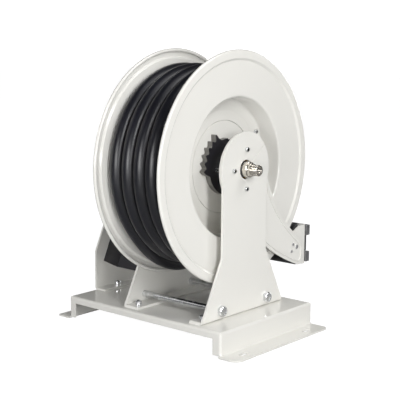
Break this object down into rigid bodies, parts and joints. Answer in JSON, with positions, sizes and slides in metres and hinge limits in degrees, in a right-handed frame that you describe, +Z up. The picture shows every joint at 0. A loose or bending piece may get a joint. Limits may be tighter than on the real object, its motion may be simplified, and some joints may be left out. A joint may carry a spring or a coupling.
{
  "type": "fire hose reel",
  "caption": "Spring-rewind hose reel on a slotted base: dished flanges, wound black hose, ratchet and pawl, swivel inlet and a roller guide at the back.",
  "frame": {"origin": "middle of the object's footprint on the floor", "axes": "+Z up; +X along the axle towards the water inlet; +Y to the back, where the hose leaves through the roller guide"},
  "size_m": [0.5886, 0.571, 0.688],
  "materials": {
    "ivory_paint": "semi-gloss powder coat",
    "black_paint": "satin black paint",
    "charcoal_paint": "satin charcoal paint",
    "zinc_plate": "bright zinc plating",
    "black_oxide": "black oxide",
    "turned_steel": "turned",
    "spring_steel": "oiled spring steel",
    "grey_steel": "satin grey",
    "bronze": "sintered bronze",
    "nickel_plate": "satin nickel plating",
    "black_rubber": "smooth black rubber cover",
    "seal_rubber": "moulded nitrile",
    "roller_plastic": "black nylon"
  },
  "bodies": {
    "stand": {"base_frame": "ivory_paint", "right_pedestal": "ivory_paint", "left_pedestal": "ivory_paint", "outer_support": "ivory_paint", "foot_bolts": "zinc_plate", "foot_nuts": "zinc_plate", "tie_rods": "zinc_plate", "tie_rod_nuts": "zinc_plate", "bearing_housing_right": "grey_steel", "bearing_housing_left": "grey_steel", "bearing_right": "bronze", "bearing_left": "bronze", "bearing_bolts": "zinc_plate", "outer_bush": "bronze", "pawl_pivot": "zinc_plate", "pawl_spring": "spring_steel", "spring_case": "black_paint", "spring_case_cover": "black_paint", "spring_case_screws": "zinc_plate", "spring_case_bolts": "zinc_plate", "power_spring": "spring_steel", "motor_saddle_inner": "black_paint", "motor_saddle_outer": "charcoal_paint", "saddle_screws": "zinc_plate", "guide_arm_right": "ivory_paint", "guide_arm_left": "ivory_paint", "arm_screws": "zinc_plate", "end_bracket_right": "ivory_paint", "end_bracket_left": "ivory_paint", "long_roller_pins": "zinc_plate", "side_roller_pins": "zinc_plate", "rail_top": "grey_steel", "rail_bottom": "grey_steel", "rail_screws": "zinc_plate"},
    "drum": {"axle": "turned_steel", "drum_core": "ivory_paint", "disc_right": "ivory_paint", "disc_left": "ivory_paint", "hub_right": "ivory_paint", "hub_left": "ivory_paint", "disc_bolts": "zinc_plate", "hub_setscrews": "black_oxide", "ratchet_plate": "black_paint", "ratchet_screws": "zinc_plate", "water_riser": "nickel_plate", "hose_ferrule": "zinc_plate", "hose": "black_rubber", "hose_end_coupling": "nickel_plate", "spring_arbor": "turned_steel", "swivel_seal": "seal_rubber", "swivel_ring": "turned_steel"},
    "inlet_swivel": {"swivel_body": "nickel_plate"},
    "pawl": {"pawl": "black_paint"},
    "top_roller": {"roller_top": "roller_plastic"},
    "bottom_roller": {"roller_bottom": "roller_plastic"},
    "right_roller": {"roller_right": "roller_plastic"},
    "left_roller": {"roller_left": "roller_plastic"}
  },
  "joints": [
    {"name": "drum_spin", "type": "hinge", "parent": "stand", "child": "drum", "pos_m": [0.04775, -0.0055, 0.408], "axis": [1, 0, 0], "range_deg": [0, 3600], "stiffness_Nm_per_rad": 0.3, "springref_deg": -359.82},
    {"name": "inlet_swivel_turn", "type": "hinge", "parent": "stand", "child": "inlet_swivel", "pos_m": [0.19275, -0.0055, 0.408], "axis": [1, 0, 0], "continuous": true},
    {"name": "pawl_swing", "type": "hinge", "parent": "stand", "child": "pawl", "pos_m": [0.12275, 0.02924, 0.47334], "axis": [1, 0, 0], "range_deg": [-21, 10]},
    {"name": "top_roller_spin", "type": "hinge", "parent": "stand", "child": "top_roller", "pos_m": [0.04775, 0.2355, 0.226], "axis": [1, 0, 0], "continuous": true},
    {"name": "bottom_roller_spin", "type": "hinge", "parent": "stand", "child": "bottom_roller", "pos_m": [0.04775, 0.2355, 0.146], "axis": [1, 0, 0], "continuous": true},
    {"name": "right_roller_spin", "type": "hinge", "parent": "stand", "child": "right_roller", "pos_m": [0.14575, 0.2735, 0.186], "axis": [0, 0, 1], "continuous": true},
    {"name": "left_roller_spin", "type": "hinge", "parent": "stand", "child": "left_roller", "pos_m": [-0.05025, 0.2735, 0.186], "axis": [0, 0, 1], "continuous": true}
  ]
}
